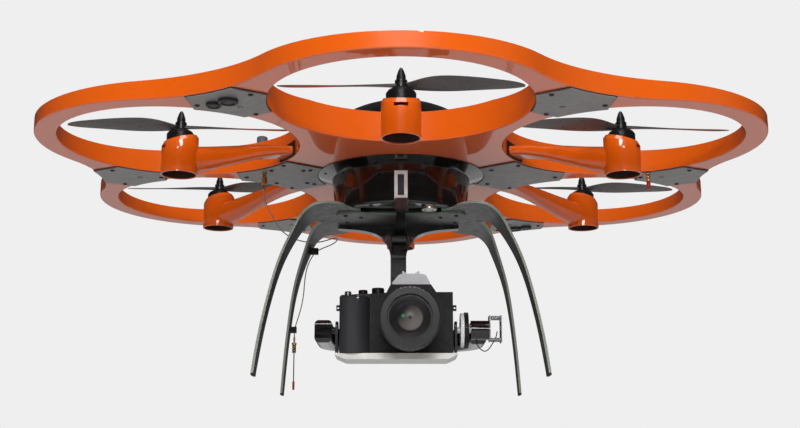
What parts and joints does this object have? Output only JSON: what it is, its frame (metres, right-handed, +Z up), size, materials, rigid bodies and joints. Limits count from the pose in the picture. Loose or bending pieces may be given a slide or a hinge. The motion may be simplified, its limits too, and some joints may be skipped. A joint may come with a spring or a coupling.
{
  "type": "hexacopter camera drone",
  "caption": "Ring-guarded multirotor camera drone with bent sheet legs, a dome-topped centre hub and a roll and tilt gimbal under it holding a camera.",
  "frame": {"origin": "centre of the rectangle of the four feet, on the ground plane", "axes": "+Z up, -Y towards the front rotor and the lens, +X to the right seen from the front"},
  "size_m": [1.045, 1.144, 0.4545],
  "materials": {
    "shell_orange": "glossy orange paint",
    "cover_grey": "satin grey",
    "gasket_black": "matte black",
    "screw_black": "black oxide",
    "light_lens": "frosted lens",
    "sensor_black": "black sensor cup with metal mesh",
    "hub_black": "high gloss black",
    "bezel_white": "satin white",
    "socket_dark": "dark socket block",
    "sensor_silver": "bright turned metal",
    "motor_black": "black anodised",
    "motor_iron": "laminated iron and copper",
    "board_green": "circuit board in a case",
    "prop_dark": "moulded carbon-filled plastic",
    "battery_blue": "shrink-wrapped cells",
    "tray_black": "moulded tray",
    "leg_grey": "dark anodised sheet",
    "foot_rubber": "rubber",
    "platform_grey": "bare anodised aluminium",
    "gear_black": "moulded gear",
    "disc_white": "white moulding",
    "frame_metal": "machined aluminium",
    "camera_black": "textured black",
    "hump_grey": "satin grey paint",
    "lens_black": "satin black anodised",
    "lens_glass": "coated glass",
    "ring_rubber": "ribbed rubber",
    "dial_black": "knurled black",
    "button_silver": "satin silver",
    "antenna_grey": "satin grey",
    "brass": "gold-plated brass",
    "antenna_black": "black sleeve",
    "tip_red": "red rubber cap",
    "cable_brown": "brown coaxial jacket"
  },
  "bodies": {
    "airframe": {"upper_frame_shell": "shell_orange", "lower_frame_skin": "shell_orange", "cover_gaskets": "gasket_black", "outer_cover_plates": "cover_grey", "inner_cover_plates": "cover_grey", "cover_screws": "screw_black", "status_lights": "light_lens", "range_sensors": "sensor_black", "motor_pods": "shell_orange", "motor_stators": "motor_iron", "speed_controllers": "board_green", "hub_bowl": "hub_black", "port_bezel": "bezel_white", "port_socket": "socket_dark", "ground_sensor": "sensor_silver", "avionics_tray": "tray_black", "flight_controller": "board_green", "landing_cross_plate": "leg_grey", "landing_plate_left": "leg_grey", "landing_plate_right": "leg_grey", "frame_screws": "screw_black", "foot_pads": "foot_rubber", "gimbal_mast": "hub_black", "antenna_puck": "antenna_grey", "brass_connectors": "brass", "antenna_cable": "cable_brown", "cable_clips": "foot_rubber", "leg_antenna": "antenna_black", "antenna_tips": "tip_red"},
    "rotor_front": {"motor_bell_front": "motor_black", "propeller_front": "prop_dark"},
    "rotor_front_right": {"motor_bell_front_right": "motor_black", "propeller_front_right": "prop_dark"},
    "rotor_rear_right": {"motor_bell_rear_right": "motor_black", "propeller_rear_right": "prop_dark"},
    "rotor_rear": {"motor_bell_rear": "motor_black", "propeller_rear": "prop_dark"},
    "rotor_rear_left": {"motor_bell_rear_left": "motor_black", "propeller_rear_left": "prop_dark"},
    "rotor_front_left": {"motor_bell_front_left": "motor_black", "propeller_front_left": "prop_dark"},
    "dome": {"dome_cover": "hub_black"},
    "battery_pack": {"battery": "battery_blue"},
    "gimbal": {"gimbal_yoke": "hub_black", "tilt_motor": "motor_black", "servo_frame": "frame_metal", "tilt_motor_wire": "antenna_black"},
    "pinion": {"servo_pinion": "gear_black"},
    "camera": {"tilt_gear": "gear_black", "tilt_disc": "disc_white", "camera_platform": "platform_grey", "camera_body": "camera_black", "viewfinder_hump": "hump_grey", "lens_barrel": "lens_black", "lens_glass": "lens_glass"},
    "focus_ring_body": {"focus_ring": "ring_rubber"},
    "mode_dial_body": {"mode_dial": "dial_black"},
    "exposure_dial_body": {"exposure_dial": "dial_black"},
    "front_dial_body": {"front_dial": "button_silver"},
    "shutter_button_body": {"shutter_button": "button_silver"}
  },
  "joints": [
    {"name": "rotor_front_spin", "type": "hinge", "parent": "airframe", "child": "rotor_front", "pos_m": [0, -0.369, 0.36], "axis": [0, 0, 1], "continuous": true},
    {"name": "rotor_front_right_spin", "type": "hinge", "parent": "airframe", "child": "rotor_front_right", "pos_m": [0.31956, -0.1845, 0.36], "axis": [0, 0, 1], "continuous": true},
    {"name": "rotor_rear_right_spin", "type": "hinge", "parent": "airframe", "child": "rotor_rear_right", "pos_m": [0.31956, 0.1845, 0.36], "axis": [0, 0, 1], "continuous": true},
    {"name": "rotor_rear_spin", "type": "hinge", "parent": "airframe", "child": "rotor_rear", "pos_m": [0, 0.369, 0.36], "axis": [0, 0, 1], "continuous": true},
    {"name": "rotor_rear_left_spin", "type": "hinge", "parent": "airframe", "child": "rotor_rear_left", "pos_m": [-0.31956, 0.1845, 0.36], "axis": [0, 0, 1], "continuous": true},
    {"name": "rotor_front_left_spin", "type": "hinge", "parent": "airframe", "child": "rotor_front_left", "pos_m": [-0.31956, -0.1845, 0.36], "axis": [0, 0, 1], "continuous": true},
    {"name": "dome_lift", "type": "slide", "parent": "airframe", "child": "dome", "axis": [0, 0, 1], "range_m": [0, 0.12]},
    {"name": "battery_lift", "type": "slide", "parent": "airframe", "child": "battery_pack", "axis": [0, 0, 1], "range_m": [0, 0.09]},
    {"name": "gimbal_roll", "type": "hinge", "parent": "airframe", "child": "gimbal", "pos_m": [-0.004, 0.036, 0.0795], "axis": [0, 1, 0], "range_deg": [-30, 30]},
    {"name": "camera_tilt", "type": "hinge", "parent": "gimbal", "child": "camera", "pos_m": [0, -0.06, 0.0795], "axis": [1, 0, 0], "range_deg": [-20, 90]},
    {"name": "pinion_turn", "type": "hinge", "parent": "gimbal", "child": "pinion", "pos_m": [0.1, -0.027, 0.0795], "axis": [1, 0, 0], "range_deg": [-340, 80]},
    {"name": "focus_turn", "type": "hinge", "parent": "camera", "child": "focus_ring_body", "pos_m": [0.013, -0.12, 0.088], "axis": [0, 1, 0], "range_deg": [0, 90]},
    {"name": "mode_dial_turn", "type": "hinge", "parent": "camera", "child": "mode_dial_body", "pos_m": [-0.035, -0.044, 0.139], "axis": [0, 0, 1], "continuous": true},
    {"name": "exposure_dial_turn", "type": "hinge", "parent": "camera", "child": "exposure_dial_body", "pos_m": [-0.058, -0.04, 0.138], "axis": [0, 0, 1], "range_deg": [-130, 130]},
    {"name": "front_dial_turn", "type": "hinge", "parent": "camera", "child": "front_dial_body", "pos_m": [-0.066, -0.086, 0.124], "axis": [1, 0, 0], "continuous": true},
    {"name": "shutter_press", "type": "slide", "parent": "camera", "child": "shutter_button_body", "axis": [0, 0, -1], "range_m": [0, 0.001], "stiffness_N_per_m": 400}
  ],
  "couplings": [
    {"joint": "pinion_turn", "follows": "camera_tilt", "ratio": -3.7143}
  ]
}
